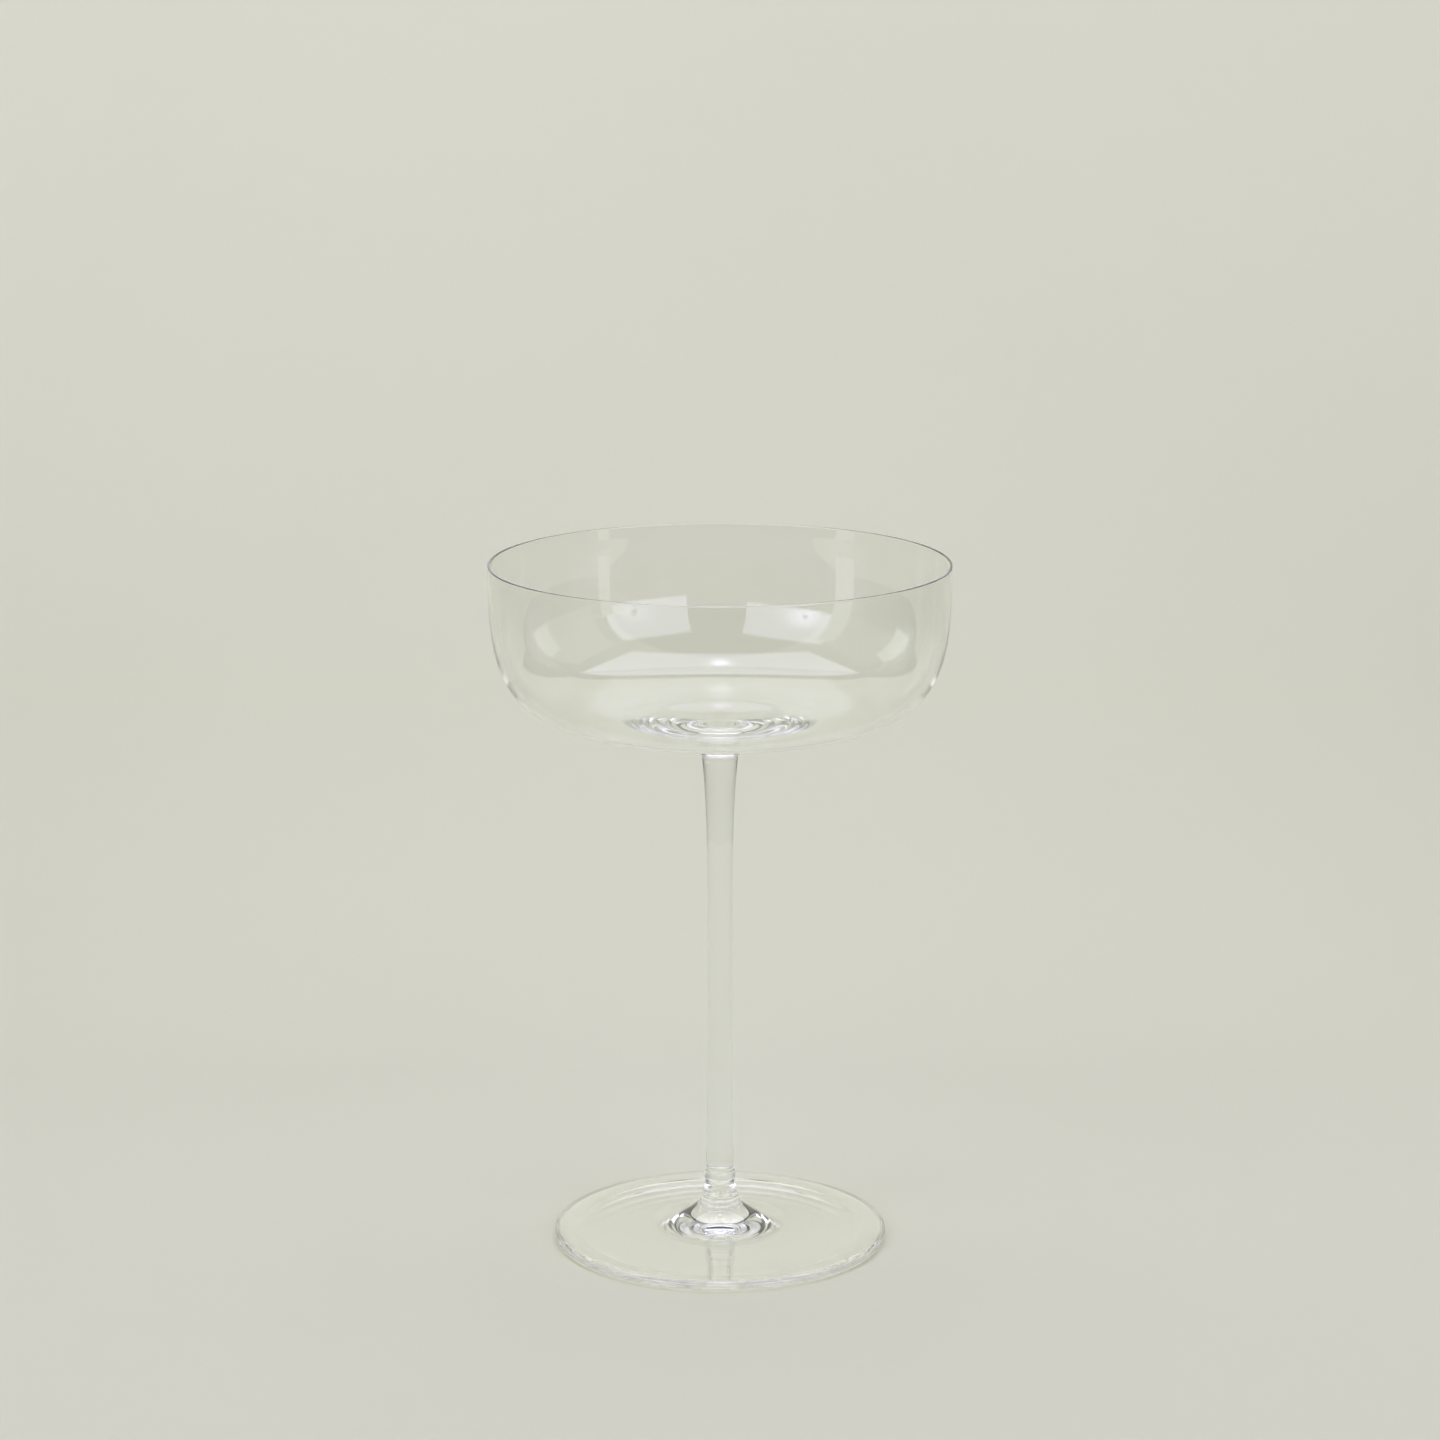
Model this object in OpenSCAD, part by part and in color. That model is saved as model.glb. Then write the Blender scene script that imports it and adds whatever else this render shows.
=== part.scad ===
// Coupe glass: a wide, shallow bowl on a slim drawn stem and a round foot.
// Lengths are in millimetres. The glass stands on z = 0 and is turned about the z axis.
// It is four bits of clear glass, each formed by itself and joined hot to the next:
// foot, collar, stem and bowl. Every joint is a domed end in a matching hollow, and the
// rounded edges on both sides of it leave the fine groove that shows as a seam.

/* [Bowl] */
// Outside diameter of the bowl at the rim
bowl_d = 110; // [90:1:130]
// Height of the bowl, from the underside of its floor to the rim
bowl_h = 39.4; // [34:0.1:60]
// Height of the straight lip below the rim
lip_h = 2.7; // [2:0.1:8]
// Distance that the wall draws in below the rim, on each side
lip_draft = 0.06; // [0:0.02:1]
// Thickness of the glass at the rim
rim_wall = 0.65; // [0.6:0.05:1.6]
// Thickness of the floor outside the pad
floor_wall = 0.7; // [0.6:0.05:2.4]
// Squareness of the corner where it meets the wall
wall_power = 5.5; // [2:0.1:7]
// Squareness of the corner where it meets the floor
floor_power = 3; // [2:0.1:5]
// Diameter of the low pad in the middle of the floor
pad_d = 60; // [36:1:70]
// Height that the pad rises above the floor
pad_rise = 0.3; // [0.1:0.05:1.5]

/* [Button under the bowl] */
// Diameter of the button's lip, where the stem is joined
button_d = 10.2; // [9.4:0.1:12]
// Height of the button, from the seam to the underside of the floor
button_h = 7.2; // [4:0.1:10]
// Diameter at which the button has spread into the floor
button_spread_d = 48; // [24:0.5:56]

/* [Stem] */
// Length of the stem between its two seams
stem_h = 104.6; // [60:0.5:130]
// Diameter of the stem's head, under the bowl
stem_head_d = 8.8; // [8:0.1:9.2]
// Diameter of the stem's waist
stem_waist_d = 6; // [5:0.1:7]
// Diameter of the stem's lower end
stem_end_d = 6.9; // [6:0.1:7.2]
// Diameter of the joint between the stem's head and the button
head_joint_d = 8; // [7:0.1:8]
// Diameter of the joint between the stem's lower end and the collar
end_joint_d = 6; // [5:0.1:6]

/* [Collar] */
// Height of the collar between its two seams
collar_h = 6.8; // [4:0.1:10]
// Diameter of the collar's upper part
collar_d = 7.5; // [7.2:0.1:8.5]
// Diameter of the collar's spread lower edge
collar_spread_d = 8.9; // [8.6:0.1:9.6]
// Diameter of the joint between the collar and the foot's hub
hub_joint_d = 8; // [7:0.1:8]

/* [Foot] */
// Diameter of the foot
foot_d = 81.2; // [70:0.5:95]
// Thickness of the foot at its edge
edge_h = 2.4; // [1.8:0.1:3.4]
// Width of the edge's rounding
edge_round = 1.6; // [0.8:0.1:2.4]
// Height of the foot from the table to the hub's seam
foot_h = 9.5; // [7:0.1:14]
// Diameter of the hub's top
hub_d = 9.2; // [8.8:0.1:11]
// Diameter at which the hub has spread into the plate
hub_spread_d = 29; // [22:0.5:38]
// Height that the plate's top rises from the edge to the hub
plate_rise = 0.6; // [0.3:0.1:2]
// Width of the flat ring that the foot rests on
rest_w = 4.5; // [2:0.1:8]
// Height of the shallow hollow under the middle of the foot
hollow_h = 1.3; // [0.6:0.1:2]

/* [Joints] */
// Height of the domed end that sits in the next piece
dome_h = 1; // [0.3:0.05:1.2]
// Height of the rounding beside each seam
seam_round = 0.45; // [0.2:0.05:0.7]

/* [Hidden] */

// Tints of clear glass, bluer where the glass is thicker
thin_glass = [0.86, 0.89, 0.86, 0.45];
solid_glass = [0.80, 0.86, 0.84, 0.55];

// Steps in a long curve, in a short one, and round the axis
long_steps = 44;
short_steps = 10;
round_steps = 96;

// How fast the stem widens from its waist towards the head and the lower end
head_power = 4.3;
end_power = 2;
// Height of the waist as a share of the stem's length
waist_share = 0.47;
// Powers of the two spreading sweeps; 2 is an ellipse, and more is leaner
button_power = 1.5;
hub_power = 1.8;
// Share of the collar's height that is straight, above its spread lower edge
collar_straight_share = 0.6;

// Seams, counted up from the table
hub_seam_z = foot_h;
end_seam_z = hub_seam_z + collar_h;
head_seam_z = end_seam_z + stem_h;
floor_z = head_seam_z + button_h;
rim_z = floor_z + bowl_h;
shoulder_z = rim_z - lip_h;
shoulder_r = bowl_d / 2 - lip_draft;

// Points from a to b on a hollow quarter sweep about [b.x, a.y].
// It leaves a upright and reaches b level.
function sweep_up(a, b, power, steps) = [
    for (i = [0 : steps])
        let (s = 90 * i / steps)
        [b.x - (b.x - a.x) * pow(cos(s), 2 / power), a.y + (b.y - a.y) * pow(sin(s), 2 / power)]
];

// A rounded edge from a, on the upright side, to b, on the seam. The corner is full.
function rounded_edge(a, b, steps) = [
    for (i = [0 : steps])
        let (s = 90 * i / steps)
        [b.x + (a.x - b.x) * cos(s), a.y + (b.y - a.y) * sin(s)]
];

// The joint's face from its edge in to the axis, as a shallow dome of height rise
function joint_face(r, z, rise, steps) = [
    for (i = [0 : steps])
        let (t = 1 - i / steps)
        [r * t, z + rise * (1 - t * t)]
];

function reversed(points) = [for (i = [len(points) - 1 : -1 : 0]) points[i]];

// Bowl surface from the radius r_from out to the shoulder, closer together at both ends
function bowl_curve(r_from, r_max, h, steps) =
    let (from = asin(pow(r_from / r_max, wall_power / 2)))
    [
        for (i = [0 : steps])
            let (s = from + (90 - from) * (1 - cos(180 * i / steps)) / 2)
            [r_max * pow(sin(s), 2 / wall_power), shoulder_z - h * pow(cos(s), 2 / floor_power)]
    ];

// Half the stem's thickness at the height z
function stem_r(z) =
    let (waist_z = end_seam_z + waist_share * stem_h)
    z > waist_z
        ? stem_waist_d / 2 + (stem_head_d - stem_waist_d) / 2
            * pow((z - waist_z) / (head_seam_z - waist_z), head_power)
        : stem_waist_d / 2 + (stem_end_d - stem_waist_d) / 2
            * pow((waist_z - z) / (waist_z - end_seam_z), end_power);

// The bowl is blown, with a thin wall, a thicker pad in its floor and a fire-polished rim.
// The button is pulled down from the underside of the pad.
module bowl() {
    inner_r = shoulder_r - rim_wall;
    inner_h = shoulder_z - floor_z - floor_wall;
    spread_r = button_spread_d / 2;
    underside = bowl_curve(spread_r, shoulder_r, shoulder_z - floor_z, long_steps);
    button = sweep_up([button_d / 2, head_seam_z + seam_round], underside[0], button_power, long_steps);
    lip = rounded_edge(button[0], [head_joint_d / 2, head_seam_z], short_steps);
    seat = joint_face(head_joint_d / 2, head_seam_z, dome_h, short_steps);
    rim = [
        for (i = [0 : short_steps])
            let (s = 180 * i / short_steps)
            [bowl_d / 2 - rim_wall / 2 * (1 - cos(s)), rim_z - rim_wall / 2 * (1 - sin(s))]
    ];
    inside = [
        for (p = bowl_curve(0, inner_r, inner_h, long_steps))
            let (share = min(1, 2 * p.x / pad_d))
            [p.x, p.y + pad_rise * pow(1 - share * share, 2)]
    ];
    color(thin_glass)
    rotate_extrude($fn = round_steps)
    polygon(concat(reversed(seat), [for (i = [short_steps - 1 : -1 : 1]) lip[i]], button,
        [for (i = [1 : long_steps]) underside[i]], rim, reversed(inside)));
}

// The stem is a drawn rod with a waist and two domed ends.
module stem() {
    low = end_seam_z + seam_round;
    high = head_seam_z - seam_round;
    side = [
        for (i = [0 : long_steps])
            let (z = low + (high - low) * i / long_steps)
            [stem_r(z), z]
    ];
    end_edge = rounded_edge(side[0], [end_joint_d / 2, end_seam_z], short_steps);
    head_edge = rounded_edge(side[long_steps], [head_joint_d / 2, head_seam_z], short_steps);
    color(solid_glass)
    rotate_extrude($fn = round_steps)
    polygon(concat(reversed(joint_face(end_joint_d / 2, end_seam_z, -dome_h, short_steps)),
        [for (i = [short_steps - 1 : -1 : 1]) end_edge[i]], side,
        [for (i = [1 : short_steps - 1]) head_edge[i]],
        joint_face(head_joint_d / 2, head_seam_z, dome_h, short_steps)));
}

// The collar is a short bit between the stem and the foot, spread a little at its lower edge.
module collar() {
    spread_z = end_seam_z - collar_straight_share * collar_h;
    top_edge = rounded_edge([collar_d / 2, end_seam_z - seam_round], [end_joint_d / 2, end_seam_z],
        short_steps);
    low_edge = rounded_edge([collar_spread_d / 2, hub_seam_z + seam_round], [hub_joint_d / 2, hub_seam_z],
        short_steps);
    spread = [
        for (i = [0 : short_steps])
            let (t = i / short_steps, ease = t * t * (3 - 2 * t))
            [(collar_spread_d + (collar_d - collar_spread_d) * ease) / 2,
                low_edge[0].y + (spread_z - low_edge[0].y) * t]
    ];
    color(solid_glass)
    rotate_extrude($fn = round_steps)
    polygon(concat(reversed(joint_face(hub_joint_d / 2, hub_seam_z, -dome_h, short_steps)),
        [for (i = [short_steps - 1 : -1 : 1]) low_edge[i]], spread,
        [for (i = [0 : short_steps - 1]) top_edge[i]],
        joint_face(end_joint_d / 2, end_seam_z, -dome_h, short_steps)));
}

// The foot is a round plate that rises to a hub, with a round edge and a hollow underside.
module foot() {
    edge_r = foot_d / 2;
    edge_x = edge_r - edge_round;
    rest_r = edge_x - rest_w;
    hollow = [
        for (i = [0 : long_steps])
            let (t = i / long_steps)
            [rest_r * t, hollow_h * (1 - t * t)]
    ];
    edge = [
        for (i = [0 : 2 * short_steps])
            let (s = 90 * i / short_steps - 90)
            [edge_x + edge_round * cos(s), edge_h / 2 * (1 + sin(s))]
    ];
    hub_sweep = sweep_up([hub_d / 2, hub_seam_z - seam_round], [hub_spread_d / 2, edge_h + plate_rise],
        hub_power, long_steps);
    hub_edge = rounded_edge(hub_sweep[0], [hub_joint_d / 2, hub_seam_z], short_steps);
    color(solid_glass)
    rotate_extrude($fn = round_steps)
    polygon(concat(hollow, edge, reversed(hub_sweep),
        [for (i = [1 : short_steps - 1]) hub_edge[i]],
        joint_face(hub_joint_d / 2, hub_seam_z, -dome_h, short_steps)));
}

bowl();
stem();
collar();
foot();
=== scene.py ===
import math
import bmesh
import bpy
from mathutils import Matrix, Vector


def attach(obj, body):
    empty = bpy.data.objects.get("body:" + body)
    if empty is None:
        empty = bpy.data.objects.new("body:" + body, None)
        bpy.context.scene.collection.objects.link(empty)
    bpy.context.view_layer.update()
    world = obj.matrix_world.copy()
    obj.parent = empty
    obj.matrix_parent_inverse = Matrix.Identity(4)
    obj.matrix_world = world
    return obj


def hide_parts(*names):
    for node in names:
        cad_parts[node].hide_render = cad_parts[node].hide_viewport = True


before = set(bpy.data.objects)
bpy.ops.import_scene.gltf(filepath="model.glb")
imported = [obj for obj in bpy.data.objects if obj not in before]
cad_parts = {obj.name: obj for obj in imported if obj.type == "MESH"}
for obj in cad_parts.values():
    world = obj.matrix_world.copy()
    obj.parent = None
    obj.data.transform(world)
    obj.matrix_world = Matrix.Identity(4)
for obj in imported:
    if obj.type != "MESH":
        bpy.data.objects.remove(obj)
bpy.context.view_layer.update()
scene = bpy.context.scene
mm = 0.001
mergeGap = 0.0005 * mm  # points closer than this are one
print("frame loaded:", ", ".join(sorted(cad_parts)))


# shader helpers

class NodeBook:
    def __init__(self, tree):
        self.tree = tree

    def feed(self, socket, value):
        if isinstance(value, Socket):
            self.tree.links.new(value.socket, socket)
        else:
            socket.default_value = value

    # an input is named by its identifier or its label, with _ for a space
    def add(self, kind, settings=None, **inputs):
        node = self.tree.nodes.new(kind)
        for key, value in (settings or {}).items():
            setattr(node, key, value)
        for key, value in inputs.items():
            found = [s for s in node.inputs if key in (s.identifier, s.name.replace(" ", "_"))]
            self.feed(found[0], value)
        return MadeNode(self, node)

    def maths(self, operation, *values):
        node = self.tree.nodes.new("ShaderNodeMath")
        node.operation = operation
        for slot, value in zip(node.inputs, values):
            self.feed(slot, value)
        return Socket(self, node.outputs[0])

    def scaled(self, colour, factor):
        node = self.add("ShaderNodeVectorMath", {"operation": "SCALE"}, Vector=colour, Scale=factor)
        return node["Vector"]


class MadeNode:
    def __init__(self, book, node):
        self.book = book
        self.node = node

    def __getitem__(self, key):
        return Socket(self.book, self.node.outputs[key])


class Socket:
    def __init__(self, book, socket):
        self.book = book
        self.socket = socket

    def __add__(self, other):
        return self.book.maths("ADD", self, other)

    __radd__ = __add__

    def __sub__(self, other):
        return self.book.maths("SUBTRACT", self, other)

    def __rsub__(self, other):
        return self.book.maths("SUBTRACT", other, self)

    def __mul__(self, other):
        return self.book.maths("MULTIPLY", self, other)

    __rmul__ = __mul__

    def __pow__(self, other):
        return self.book.maths("POWER", self, other)

    def __rpow__(self, other):
        return self.book.maths("POWER", other, self)


# profiles, as points (radius, height) in millimetres

# a hollow quarter sweep that leaves a upright and reaches b level; a power of 2 is an ellipse
def sweepUp(a, b, power, steps):
    points = []
    for i in range(steps + 1):
        s = math.pi / 2 * i / steps
        x = b[0] - (b[0] - a[0]) * max(math.cos(s), 0) ** (2 / power)
        points.append((x, a[1] + (b[1] - a[1]) * math.sin(s) ** (2 / power)))
    return points


# the full rounding from a, on an upright side, to b, on a seam
def roundedEdge(a, b, steps):
    points = []
    for i in range(steps + 1):
        s = math.pi / 2 * i / steps
        points.append((b[0] + (a[0] - b[0]) * math.cos(s), a[1] + (b[1] - a[1]) * math.sin(s)))
    return points


# half a turn of an ellipse, anticlockwise from the angle start
def halfTurn(centre, radii, start, steps):
    points = []
    for i in range(steps + 1):
        a = start + math.pi * i / steps
        points.append((centre[0] + radii[0] * math.cos(a), centre[1] + radii[1] * math.sin(a)))
    return points


# a straight run, with its points closer together at both ends
def straightRun(a, b, steps):
    points = []
    for i in range(steps + 1):
        share = (1 - math.cos(math.pi * i / steps)) / 2
        points.append((a[0] + (b[0] - a[0]) * share, a[1] + (b[1] - a[1]) * share))
    return points


# a shallow dome, from its edge in to the axis
def domeFace(r, z, rise, steps):
    return [(r * i / steps, z + rise * (1 - (i / steps) ** 2)) for i in range(steps, -1, -1)]


# a quarter turn of a profile about the axis
def spinQuarter(mesh, profile, slot, steps):
    verts = [mesh.verts.new((x * mm, 0, z * mm)) for x, z in profile]
    edges = [mesh.edges.new(pair) for pair in zip(verts, verts[1:])]
    before = set(mesh.faces)
    bmesh.ops.spin(mesh, geom=verts + edges, cent=(0, 0, 0), axis=(0, 0, 1), angle=math.pi / 2,
                   steps=steps)
    for face in set(mesh.faces) - before:
        face.material_index = slot
        face.smooth = True


# one closed piece of glass: its skin in the first material and its seams in the second
def lathe(name, skin, seams, materials, steps):
    mesh = bmesh.new()
    for seam in seams:
        spinQuarter(mesh, seam, 1, steps)
    spinQuarter(mesh, skin, 0, steps)
    for axis in ("X", "Y"):
        bmesh.ops.mirror(mesh, geom=mesh.verts[:] + mesh.edges[:] + mesh.faces[:], axis=axis,
                         merge_dist=mergeGap)
    bmesh.ops.remove_doubles(mesh, verts=mesh.verts, dist=mergeGap)
    bmesh.ops.recalc_face_normals(mesh, faces=mesh.faces)
    for edge in mesh.edges:
        edge.smooth = len({face.material_index for face in edge.link_faces}) == 1
    piece = meshObject(name, mesh, materials)
    print(name, len(piece.data.vertices), "points")
    return piece


def meshObject(name, mesh, materials):
    data = bpy.data.meshes.new(name)
    mesh.to_mesh(data)
    mesh.free()
    for material in materials:
        data.materials.append(material)
    made = bpy.data.objects.new(name, data)
    scene.collection.objects.link(made)
    return made


# materials of the glass

glassLook = {"thin": (0.993, 1.0, 0.98), "solid": (0.995, 1.0, 0.992), "ior": 1.52}


def newMaterial(name):
    material = bpy.data.materials.new(name)
    material.use_nodes = True
    material.node_tree.nodes.clear()
    return material, NodeBook(material.node_tree)


def clearGlass(name, tint):
    material, book = newMaterial(name)
    glass = book.add("ShaderNodeBsdfPrincipled", Base_Color=(*tint, 1), Roughness=0.0,
                     IOR=glassLook["ior"], Transmission_Weight=1.0)
    book.add("ShaderNodeOutputMaterial", Surface=glass["BSDF"])
    return material


# the glass is one where two pieces are fused, so the faces between them are clear
def fusedSeam():
    material, book = newMaterial("fusedSeam")
    clear = book.add("ShaderNodeBsdfTransparent", Color=(1, 1, 1, 1))
    book.add("ShaderNodeOutputMaterial", Surface=clear["BSDF"])
    return material


thinGlass = clearGlass("thinGlass", glassLook["thin"])
solidGlass = clearGlass("solidGlass", glassLook["solid"])
seam = fusedSeam()

# sizes are in millimetres, the same as the solids' but for the foot's flare and hollow

jointSizes = {"dome": 1.0, "round": 0.45, "edgeSteps": 8, "domeSteps": 12}
dome = jointSizes["dome"]
edgeRound = jointSizes["round"]
edgeSteps = jointSizes["edgeSteps"]
domeSteps = jointSizes["domeSteps"]


# the foot, with a slightly fuller flare and a deeper hollow than its solid

footSizes = {"d": 81.2, "edgeH": 2.4, "edgeRound": 1.6, "h": 9.5, "hubD": 9.6, "spreadD": 34,
             "plateRise": 1.0, "power": 1.6, "restW": 4.5, "hollowH": 1.9, "hubJointD": 8,
             "hollowSteps": 60, "ringSteps": 12, "edgeSteps": 24, "plateSteps": 40, "hubSteps": 80,
             "quarterSteps": 64}
hubZ = footSizes["h"]


def makeFoot():
    s = footSizes
    edgeX = s["d"] / 2 - s["edgeRound"]
    half = s["edgeH"] / 2
    hollow = domeFace(edgeX - s["restW"], 0, s["hollowH"], s["hollowSteps"])[::-1]
    edge = halfTurn((edgeX, half), (s["edgeRound"], half), -math.pi / 2, s["edgeSteps"])
    flareTop = (s["hubD"] / 2, hubZ - edgeRound)
    flareFoot = (s["spreadD"] / 2, s["edgeH"] + s["plateRise"])
    flare = sweepUp(flareTop, flareFoot, s["power"], s["hubSteps"])
    hubEdge = roundedEdge(flareTop, (s["hubJointD"] / 2, hubZ), edgeSteps)
    ring = straightRun(hollow[-1], edge[0], s["ringSteps"])
    plate = straightRun(edge[-1], flareFoot, s["plateSteps"])
    skin = hollow + ring[1:-1] + edge + plate[1:-1] + flare[::-1] + hubEdge[1:]
    seat = domeFace(s["hubJointD"] / 2, hubZ, -dome, domeSteps)
    piece = lathe("footPlate", skin, [seat], [solidGlass, seam], s["quarterSteps"])
    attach(piece, "root")
    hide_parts("foot")
    return piece


# the collar, between the foot's hub and the stem's domed end

collarSizes = {"h": 6.8, "d": 7.5, "spreadD": 8.9, "straightShare": 0.6, "endJointD": 6,
               "spreadSteps": 20, "sideSteps": 14, "quarterSteps": 32}
endZ = hubZ + collarSizes["h"]


def makeCollar():
    s = collarSizes
    hubJointR = footSizes["hubJointD"] / 2
    endJointR = s["endJointD"] / 2
    spreadZ = endZ - s["straightShare"] * s["h"]
    topEdge = roundedEdge((s["d"] / 2, endZ - edgeRound), (endJointR, endZ), edgeSteps)
    lowEdge = roundedEdge((s["spreadD"] / 2, hubZ + edgeRound), (hubJointR, hubZ), edgeSteps)[::-1]
    lowZ = lowEdge[-1][1]
    spread = []
    for i in range(s["spreadSteps"] + 1):
        t = i / s["spreadSteps"]
        ease = t * t * (3 - 2 * t)
        spread.append(((s["spreadD"] + (s["d"] - s["spreadD"]) * ease) / 2, lowZ + (spreadZ - lowZ) * t))
    side = straightRun(spread[-1], topEdge[0], s["sideSteps"])
    skin = lowEdge + spread[1:] + side[1:-1] + topEdge
    ends = [domeFace(hubJointR, hubZ, -dome, domeSteps), domeFace(endJointR, endZ, -dome, domeSteps)]
    piece = lathe("collarBit", skin, ends, [solidGlass, seam], s["quarterSteps"])
    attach(piece, "root")
    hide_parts("collar")
    return piece


# the stem, narrowest at its waist

stemSizes = {"h": 104.6, "headD": 8.8, "waistD": 6, "endD": 6.9, "headPower": 4.3, "endPower": 2,
             "waistShare": 0.47, "headJointD": 8, "sideSteps": 120, "quarterSteps": 32}
headZ = endZ + stemSizes["h"]


def stemRadius(z):
    s = stemSizes
    waistZ = endZ + s["waistShare"] * s["h"]
    if z > waistZ:
        share = (z - waistZ) / (headZ - waistZ)
        return (s["waistD"] + (s["headD"] - s["waistD"]) * share ** s["headPower"]) / 2
    share = (waistZ - z) / (waistZ - endZ)
    return (s["waistD"] + (s["endD"] - s["waistD"]) * share ** s["endPower"]) / 2


def makeStem():
    s = stemSizes
    endJointR = collarSizes["endJointD"] / 2
    headJointR = s["headJointD"] / 2
    low, high = endZ + edgeRound, headZ - edgeRound
    heights = [low + (high - low) * i / s["sideSteps"] for i in range(s["sideSteps"] + 1)]
    side = [(stemRadius(z), z) for z in heights]
    endEdge = roundedEdge(side[0], (endJointR, endZ), edgeSteps)[::-1]
    headEdge = roundedEdge(side[-1], (headJointR, headZ), edgeSteps)
    skin = endEdge + side[1:] + headEdge[1:]
    ends = [domeFace(endJointR, endZ, -dome, domeSteps), domeFace(headJointR, headZ, dome, domeSteps)]
    piece = lathe("stemRod", skin, ends, [solidGlass, seam], s["quarterSteps"])
    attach(piece, "root")
    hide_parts("stem")
    return piece


# the bowl, with a low pad in its floor and the button under it

bowlSizes = {"d": 110, "h": 39.4, "lip": 2.7, "draft": 0.06, "rimWall": 0.65, "floorWall": 0.7,
             "wallPower": 5.5, "floorPower": 3, "padD": 60, "padRise": 0.3,
             "buttonD": 10.2, "buttonH": 7.2, "buttonSpreadD": 48, "buttonPower": 1.5,
             "buttonSteps": 40, "outsideSteps": 120, "insideSteps": 150, "rimSteps": 18, "lipSteps": 8,
             "quarterSteps": 64}
floorZ = headZ + bowlSizes["buttonH"]
rimZ = floorZ + bowlSizes["h"]
shoulderZ = rimZ - bowlSizes["lip"]
shoulderR = bowlSizes["d"] / 2 - bowlSizes["draft"]


# from the radius rFrom on the floor up to the shoulder, with its points closer together at both ends
def bowlCurve(rFrom, rMax, h, steps):
    s = bowlSizes
    start = math.asin((rFrom / rMax) ** (s["wallPower"] / 2))
    points = []
    for i in range(steps + 1):
        a = start + (math.pi / 2 - start) * (1 - math.cos(math.pi * i / steps)) / 2
        points.append((rMax * math.sin(a) ** (2 / s["wallPower"]),
                       shoulderZ - h * max(math.cos(a), 0) ** (2 / s["floorPower"])))
    return points


def makeBowl():
    s = bowlSizes
    jointR = stemSizes["headJointD"] / 2
    half = s["rimWall"] / 2
    underside = bowlCurve(s["buttonSpreadD"] / 2, shoulderR, shoulderZ - floorZ, s["outsideSteps"])
    buttonFoot = (s["buttonD"] / 2, headZ + edgeRound)
    button = sweepUp(buttonFoot, underside[0], s["buttonPower"], s["buttonSteps"])
    buttonEdge = roundedEdge(buttonFoot, (jointR, headZ), edgeSteps)[::-1]
    rim = halfTurn((s["d"] / 2 - half, rimZ - half), (half, half), 0, s["rimSteps"])
    inside = []
    innerH = shoulderZ - floorZ - s["floorWall"]
    for x, z in bowlCurve(0, shoulderR - s["rimWall"], innerH, s["insideSteps"]):
        share = min(1, 2 * x / s["padD"])
        inside.append((x, z + s["padRise"] * (1 - share ** 2) ** 2))
    outerLip = straightRun(underside[-1], rim[0], s["lipSteps"])
    innerLip = straightRun(rim[-1], inside[-1], s["lipSteps"])
    skin = (buttonEdge + button[1:] + underside[1:] + outerLip[1:-1] + rim + innerLip[1:-1]
            + inside[::-1])
    seat = domeFace(jointR, headZ, dome, domeSteps)
    piece = lathe("bowlGlass", skin, [seat], [thinGlass, seam], s["quarterSteps"])
    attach(piece, "root")
    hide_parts("bowl")
    return piece


makeBowl()
makeStem()
makeCollar()
makeFoot()
print("glass made")


# the pale paper that the glass stands on, and the dark room's floor under it; metres from here on

paperSizes = {"front": -0.55, "rows": (-0.2, 0.3), "flat": 0.62, "curve": 0.58, "turn": 4, "step": 72,
              "top": 1.35, "wide": 1.36, "narrow": 0.8, "gap": 0.0002, "colour": (0.79, 0.805, 0.608)}
# painted light on the paper: a glow added to its surface, brighter farther back and higher up
paintedLightSizes = {"base": 0.015, "from": 0.13, "along": 0.125, "power": 0.7, "wallFrom": 0.25, "wall": 0.25,
             "across": -0.02, "colour": (1.0, 0.99, 0.9)}
roomFloor = {"reach": 4, "z": -0.004, "colour": (0.2, 0.2, 0.19)}


# a sheet along X, from its side line of points (y, z)
def sheetFrom(name, line, halfWidth, material):
    mesh = bmesh.new()
    verts = [mesh.verts.new((-halfWidth, y, z)) for y, z in line]
    edges = [mesh.edges.new(pair) for pair in zip(verts, verts[1:])]
    made = bmesh.ops.extrude_edge_only(mesh, edges=edges)
    moved = [v for v in made["geom"] if isinstance(v, bmesh.types.BMVert)]
    bmesh.ops.translate(mesh, verts=moved, vec=(2 * halfWidth, 0, 0))
    for face in mesh.faces:
        face.smooth = True
    sheet = meshObject(name, mesh, [material])
    return sheet


# a matt surface; the glow may change over it: on the boards it is their lamp light, on the paper it is
# painted light
def matteSurface(name, colour, glow=None):
    material, book = newMaterial(name)
    surface = {"Base_Color": (*colour, 1), "Roughness": 1.0, "Specular_IOR_Level": 0.0}
    if glow:
        surface.update(Emission_Color=glow(book), Emission_Strength=1.0)
    matte = book.add("ShaderNodeBsdfPrincipled", **surface)
    book.add("ShaderNodeOutputMaterial", Surface=matte["BSDF"])
    return material


# painted light: a glow in the paper itself that stands in for the light reaching the sweep from above,
# stronger farther back and higher up
def paintedPaperLight(book):
    s = paintedLightSizes
    place = book.add("ShaderNodeTexCoord")
    parts = book.add("ShaderNodeSeparateXYZ", Vector=place["Object"])
    along = book.maths("MAXIMUM", parts["Y"] + parts["Z"] - s["from"], 0.0) ** s["power"]
    high = book.maths("MAXIMUM", parts["Z"] - s["wallFrom"], 0.0)
    glow = s["base"] + along * s["along"] + high * s["wall"] + parts["X"] * s["across"]
    return book.scaled(s["colour"], book.maths("MAXIMUM", glow, 0.0))


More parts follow.
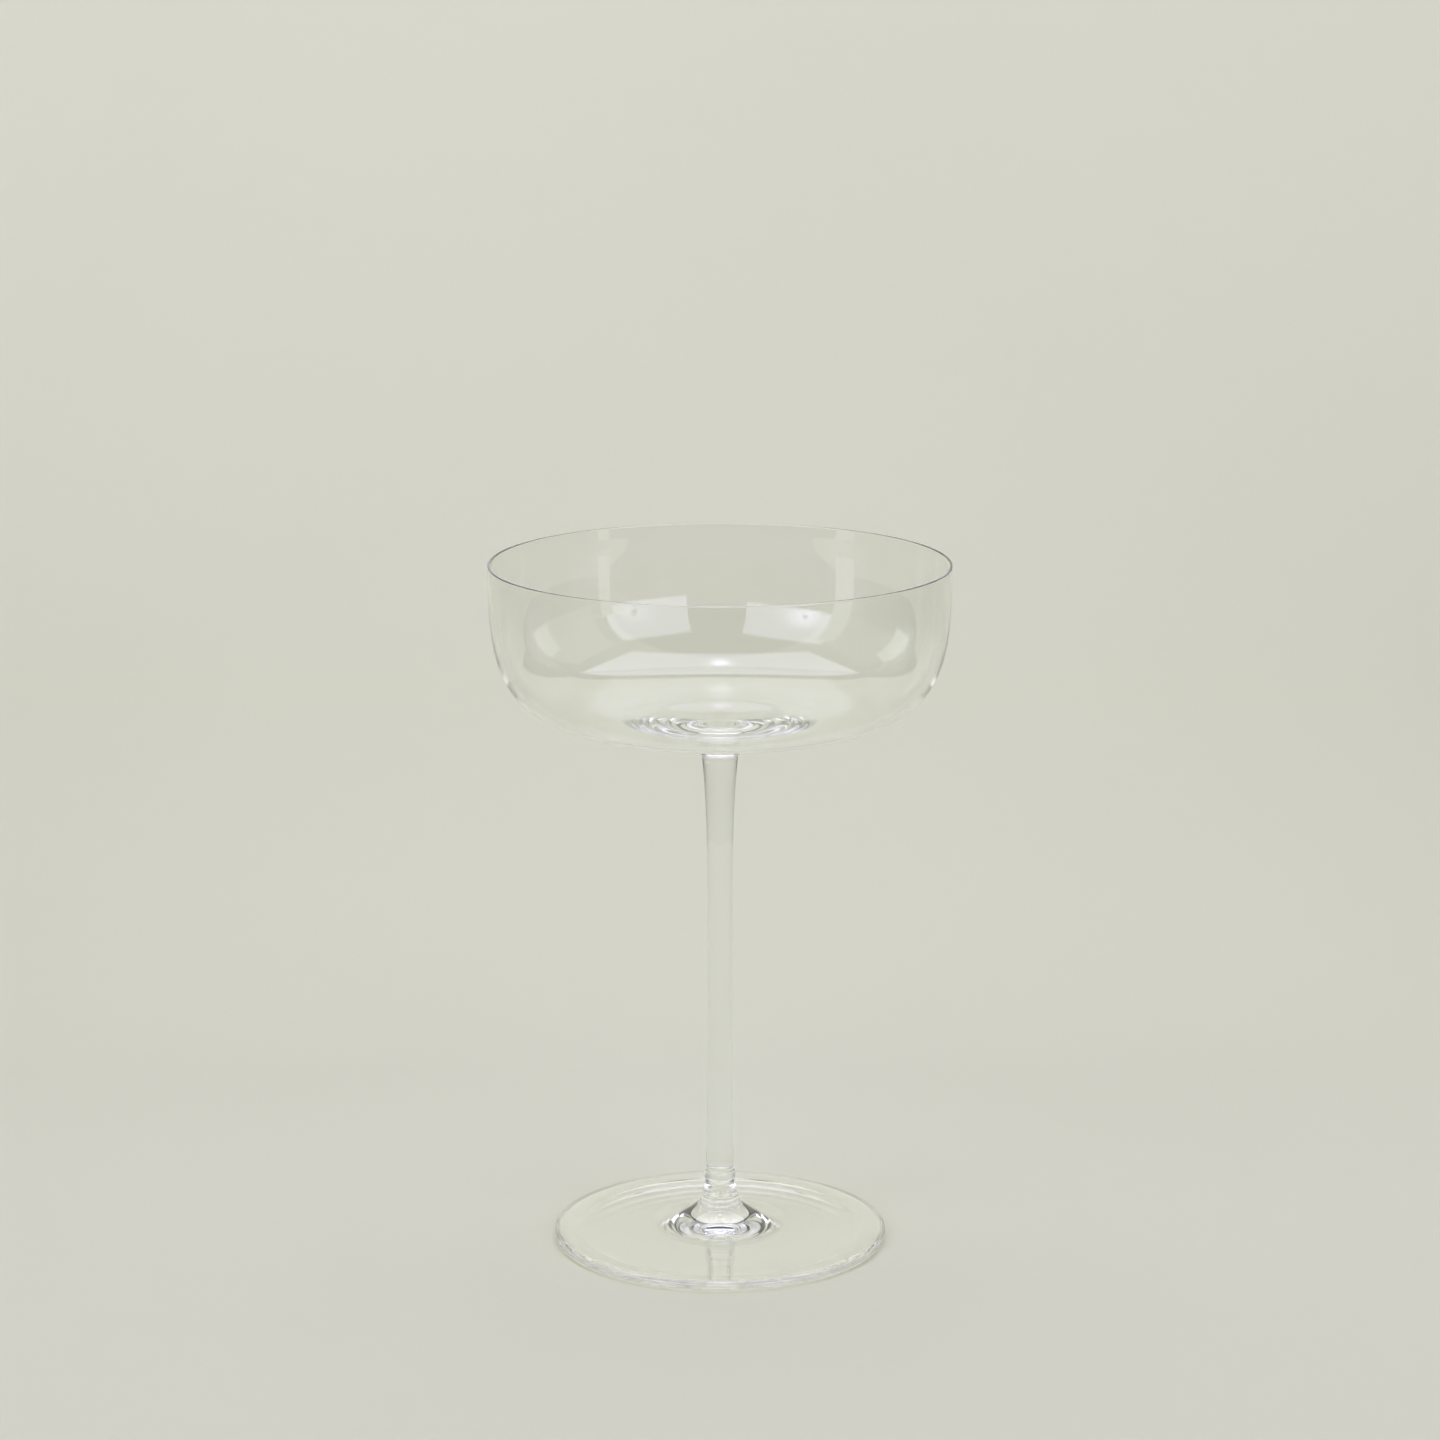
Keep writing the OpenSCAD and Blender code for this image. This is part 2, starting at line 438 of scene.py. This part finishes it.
# the sweep is wide along the table and up to the step, in degrees of its curve, and narrower above it
def makePaper():
    s = paperSizes
    flat = [(y, -s["gap"]) for y in (s["front"], *s["rows"], s["flat"])]
    curve = []
    for angle in range(s["turn"], 90, s["turn"]):
        a = math.radians(angle)
        curve.append((s["flat"] + s["curve"] * math.sin(a), s["curve"] * (1 - math.cos(a)) - s["gap"]))
    step = s["step"] // s["turn"]
    # the paper's glow is painted light, not lit by any lamp
    paper = matteSurface("palePaperPaintedLight", s["colour"], paintedPaperLight)
    sheetFrom("paperSweep", flat + curve[:step], s["wide"], paper)
    sheetFrom("paperWall", curve[step - 1:] + [(curve[-1][0], s["top"])], s["narrow"], paper)
    line = [(y, roomFloor["z"]) for y in (-roomFloor["reach"], 0, roomFloor["reach"])]
    sheetFrom("studioFloor", line, roomFloor["reach"], matteSurface("studioGrey", roomFloor["colour"]))


makePaper()
print("paper laid")


# glowing boards, seen only in reflections and by their light

bowlCentre = Vector((0, 0, 0.15))
boardBody = (0.03, 0.03, 0.03)
lampColour = (0.81, 0.79, 1.0)
cardColour = (0.98, 1.0, 0.97)
lightScale = 1.12

# upright boards: azimuth and distance of the middle, width, and heights of the lower and upper edge.
# lampAt is the azimuth and elevation at which the bowl sees the lamp; cap is the radius of its dark cap
boxGlow = {"radiance": 1.97 * lightScale, "hot": 1.0 * lightScale, "spread": 0.22, "cap": 0.042,
           "capShade": 0.8, "colour": lampColour}
uprights = {
    "rightBox": {"azimuth": 41.3, "distance": 1.2, "width": 1.04, "low": 0.31, "high": 1.25,
                 "lampAt": (48, 14.8), **boxGlow},
    "leftBox": {"azimuth": -42.5, "distance": 1.2, "width": 1.28, "low": 0.43, "high": 1.45,
                "lampAt": (-48.3, 18.3), **boxGlow, "hot": 3.2 * lightScale},
    "rightFlat": {"azimuth": 64, "distance": 0.92, "width": 0.11, "low": 0, "high": 0.37,
                  "radiance": 0.95, "colour": cardColour},
    "leftFlat": {"azimuth": -69.5, "distance": 0.92, "width": 0.18, "low": 0, "high": 0.89,
                 "radiance": 0.98, "colour": cardColour},
    "rightCard": {"azimuth": 117.5, "distance": 0.4, "width": 0.1, "low": 0.185, "high": 0.345,
                  "radiance": 1.06, "colour": cardColour},
    "leftCard": {"azimuth": -121, "distance": 0.4, "width": 0.1, "low": 0.192, "high": 0.39,
                 "radiance": 1.18, "colour": cardColour},
    "rightRoom": {"azimuth": 98, "distance": 0.6, "width": 0.53, "low": 0.203, "high": 0.75,
                  "radiance": 0.4, "colour": cardColour},
    "leftRoom": {"azimuth": -100, "distance": 0.6, "width": 0.53, "low": 0.278, "high": 0.75,
                 "radiance": 0.22, "colour": cardColour}}
overhead = {"centre": (0, 0.35, 1.3), "size": (1.54, 1.1), "radiance": 1.75 * lightScale,
            "hot": 4.6 * lightScale, "spread": 0.045, "squash": 0.3, "lamp": (0, 0.2, 1.3),
            "colour": lampColour}


# direction from the bowl; azimuth 0 is the camera's side, and +X is 90
def toward(azimuth, elevation):
    a, e = math.radians(azimuth), math.radians(elevation)
    return Vector((math.sin(a) * math.cos(e), -math.cos(a) * math.cos(e), math.sin(e)))


# where a direction from the bowl meets an upright board
def onBoard(board, azimuth, elevation):
    ray = toward(azimuth, elevation)
    return bowlCentre + ray * (board["distance"] / ray.dot(toward(board["azimuth"], 0)))


# a board's front glows evenly, or swells round a lamp that may have a dark cap; its back is dark
def boardSurface(name, board):
    def glow(book):
        front = 1 - book.add("ShaderNodeNewGeometry")["Backfacing"]
        if "lamp" not in board:
            return book.scaled(board["colour"], board["radiance"] * front)
        place = book.add("ShaderNodeTexCoord")
        squash = Vector((1, board.get("squash", 1), 1))
        squashed = book.add("ShaderNodeMapping", Vector=place["Object"], Scale=squash)
        away = book.add("ShaderNodeVectorMath", {"operation": "DISTANCE"}, Vector=squashed["Vector"],
                        Vector_001=Vector(board["lamp"]) * squash)["Value"]
        swell = board["hot"] * math.e ** (away * away * (-1 / board["spread"] ** 2))
        brightness = (board["radiance"] + swell) * front
        if "cap" in board:
            brightness = brightness * (1 - board["capShade"] * book.maths("LESS_THAN", away, board["cap"]))
        return book.scaled(board["colour"], brightness)
    return matteSurface(name + "Glow", boardBody, glow)


def glowBoard(name, centre, aim, width, height, board):
    x, y = width / 2, height / 2
    mesh = bmesh.new()
    verts = [mesh.verts.new((*corner, 0)) for corner in ((-x, -y), (x, -y), (x, y), (-x, y))]
    mesh.faces.new(verts)
    turn = (Vector(aim) - Vector(centre)).to_track_quat("Z", "Y").to_matrix().to_4x4()
    turn.translation = centre
    bmesh.ops.transform(mesh, matrix=turn, verts=mesh.verts)
    piece = meshObject(name, mesh, [boardSurface(name, board)])
    piece.visible_camera = False
    return piece


for word, board in uprights.items():
    if "lampAt" in board:
        board["lamp"] = onBoard(board, *board["lampAt"])
    place = toward(board["azimuth"], 0) * board["distance"]
    place.z = (board["low"] + board["high"]) / 2
    glowBoard(word, place, (0, 0, place.z), board["width"], board["high"] - board["low"], board)
centre = overhead["centre"]
glowBoard("overheadPanel", centre, (centre[0], centre[1], 0), *overhead["size"], overhead)
print("boards hung:", len(uprights) + 1)


# the dim room

roomColour = (0.05, 0.05, 0.045)

world = bpy.data.worlds.new("studio")
world.use_nodes = True
world.node_tree.nodes.clear()
worldBook = NodeBook(world.node_tree)
dim = worldBook.add("ShaderNodeBackground", Color=(*roomColour, 1), Strength=1.0)
worldBook.add("ShaderNodeOutputWorld", Surface=dim["Background"])
scene.world = world


# the camera, and as many bounces as light makes inside the glass

cameraSizes = {"lens": 97.74, "sensor": 36, "place": (0, -0.911, 0.3344), "down": 12.692}
insideBounces = 128
seamBounces = 32

cameraData = bpy.data.cameras.new("camera")
cameraData.lens = cameraSizes["lens"]
cameraData.sensor_width = cameraSizes["sensor"]
camera = bpy.data.objects.new("camera", cameraData)
camera.location = cameraSizes["place"]
camera.rotation_euler = (math.radians(90 - cameraSizes["down"]), 0, 0)
scene.collection.objects.link(camera)
scene.camera = camera
scene.view_settings.view_transform = "Standard"
scene.cycles.max_bounces = insideBounces
scene.cycles.transmission_bounces = insideBounces
scene.cycles.glossy_bounces = insideBounces
scene.cycles.transparent_max_bounces = seamBounces
scene.cycles.blur_glossy = 0
print("camera placed")
